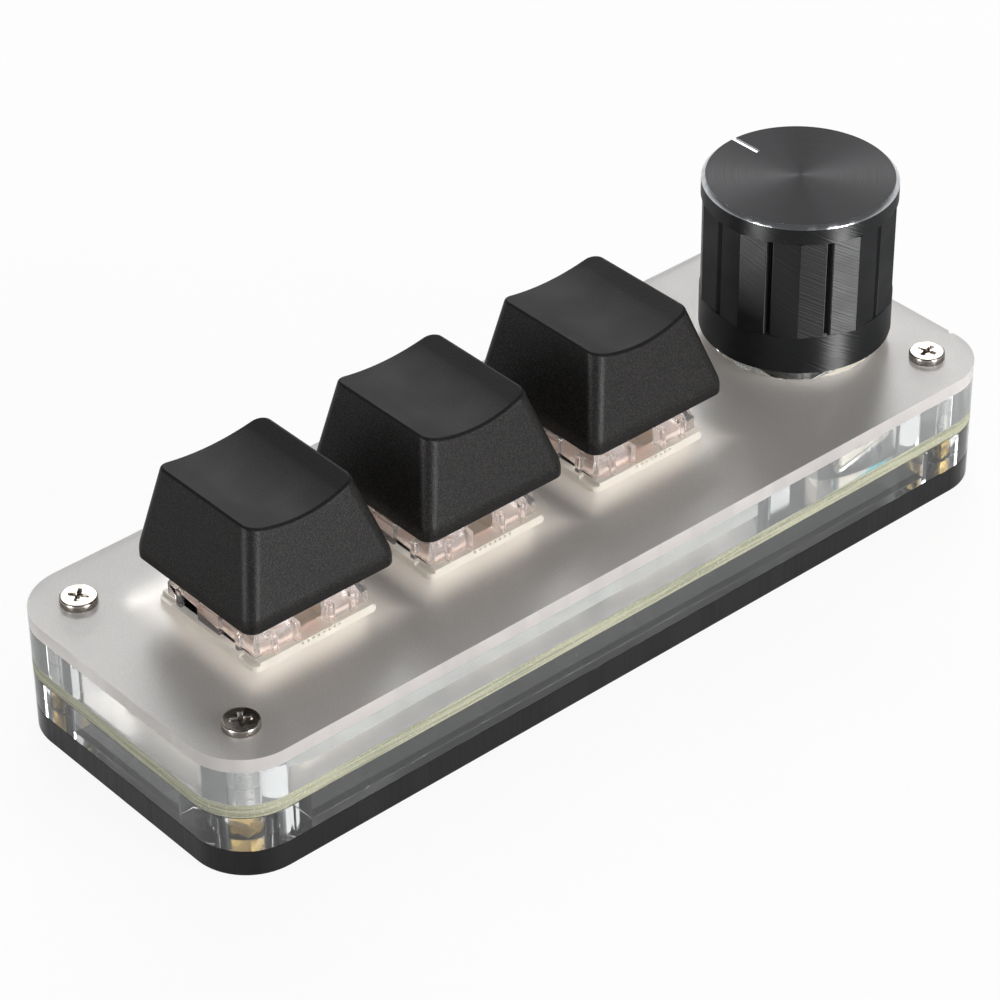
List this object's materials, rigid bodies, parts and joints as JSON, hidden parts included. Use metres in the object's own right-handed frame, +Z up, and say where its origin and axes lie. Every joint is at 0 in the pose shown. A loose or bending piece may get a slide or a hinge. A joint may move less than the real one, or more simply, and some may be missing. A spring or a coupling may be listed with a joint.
{
  "type": "macro keypad",
  "caption": "Small desk keypad with a row of black mechanical keys and a push dial on a frosted plate over clear and black acrylic layers.",
  "frame": {"origin": "centre of the footprint, on the table", "axes": "+X along the row of keys towards the dial, -Y towards the user, +Z up"},
  "size_m": [0.105, 0.037, 0.0344],
  "materials": {
    "black_acrylic": "glossy black acrylic with laser-cut edges",
    "clear_acrylic": "clear acrylic with fine upright marks on its cut edges",
    "frosted_acrylic": "frosted acrylic with a satin top",
    "board": "glass-fibre board, yellow-green at its edge",
    "brass": "bright turned brass",
    "screw_steel": "nickel-plated steel",
    "milky_plastic": "milky cream moulded plastic",
    "clear_plastic": "clear moulded plastic, faintly pink",
    "contact_metal": "stamped copper alloy",
    "spring_steel": "bright spring steel",
    "stem_plastic": "orange-brown moulded plastic",
    "keycap_plastic": "fine-grained black plastic",
    "teal_plastic": "teal moulded plastic",
    "bracket_steel": "tinned steel sheet",
    "zinc": "die-cast zinc",
    "black_plastic": "black moulded plastic",
    "shaft_metal": "turned aluminium",
    "black_anodised": "black anodised aluminium with a bright bevel",
    "black_steel": "blackened steel",
    "socket_steel": "nickel-plated steel sheet",
    "ceramic_parts": "small ceramic parts"
  },
  "bodies": {
    "case": {"base_plate": "black_acrylic", "spacer_frame": "clear_acrylic", "circuit_board": "board", "switch_frame": "clear_acrylic", "top_plate": "frosted_acrylic", "standoff_1": "brass", "standoff_2": "brass", "standoff_3": "brass", "standoff_4": "brass", "top_screw_1": "screw_steel", "top_screw_2": "screw_steel", "top_screw_3": "screw_steel", "top_screw_4": "screw_steel", "base_screw_1": "screw_steel", "base_screw_2": "screw_steel", "base_screw_3": "screw_steel", "base_screw_4": "screw_steel", "switch_base_1": "milky_plastic", "switch_base_2": "milky_plastic", "switch_base_3": "milky_plastic", "switch_cover_1": "clear_plastic", "switch_cover_2": "clear_plastic", "switch_cover_3": "clear_plastic", "switch_contacts_1": "contact_metal", "switch_contacts_2": "contact_metal", "switch_contacts_3": "contact_metal", "switch_spring_1": "spring_steel", "switch_spring_2": "spring_steel", "switch_spring_3": "spring_steel", "encoder_base": "teal_plastic", "encoder_bracket": "bracket_steel", "encoder_terminals": "bracket_steel", "encoder_bushing": "zinc", "encoder_dome": "spring_steel", "socket_shell": "socket_steel", "socket_tongue": "black_plastic", "controller_chip": "black_plastic", "board_parts": "ceramic_parts"},
    "key_1": {"switch_stem_1": "stem_plastic", "keycap_1": "keycap_plastic"},
    "key_2": {"switch_stem_2": "stem_plastic", "keycap_2": "keycap_plastic"},
    "key_3": {"switch_stem_3": "stem_plastic", "keycap_3": "keycap_plastic"},
    "dial_rotor": {"encoder_rotor": "black_plastic"},
    "dial": {"encoder_shaft": "shaft_metal", "knob": "black_anodised", "grub_screw": "black_steel"}
  },
  "joints": [
    {"name": "key_1_press", "type": "slide", "parent": "case", "child": "key_1", "axis": [0, 0, -1], "range_m": [0, 0.004], "stiffness_N_per_m": 70, "springref_m": -0.004, "deforming": ["switch_spring_1"]},
    {"name": "key_2_press", "type": "slide", "parent": "case", "child": "key_2", "axis": [0, 0, -1], "range_m": [0, 0.004], "stiffness_N_per_m": 70, "springref_m": -0.004, "deforming": ["switch_spring_2"]},
    {"name": "key_3_press", "type": "slide", "parent": "case", "child": "key_3", "axis": [0, 0, -1], "range_m": [0, 0.004], "stiffness_N_per_m": 70, "springref_m": -0.004, "deforming": ["switch_spring_3"]},
    {"name": "dial_turn", "type": "hinge", "parent": "case", "child": "dial_rotor", "pos_m": [0.0397, 0, 0.0117], "axis": [0, 0, 1], "continuous": true},
    {"name": "dial_push", "type": "slide", "parent": "dial_rotor", "child": "dial", "axis": [0, 0, -1], "range_m": [0, 0.0005], "stiffness_N_per_m": 1500, "springref_m": -0.002, "deforming": ["encoder_dome"]}
  ]
}
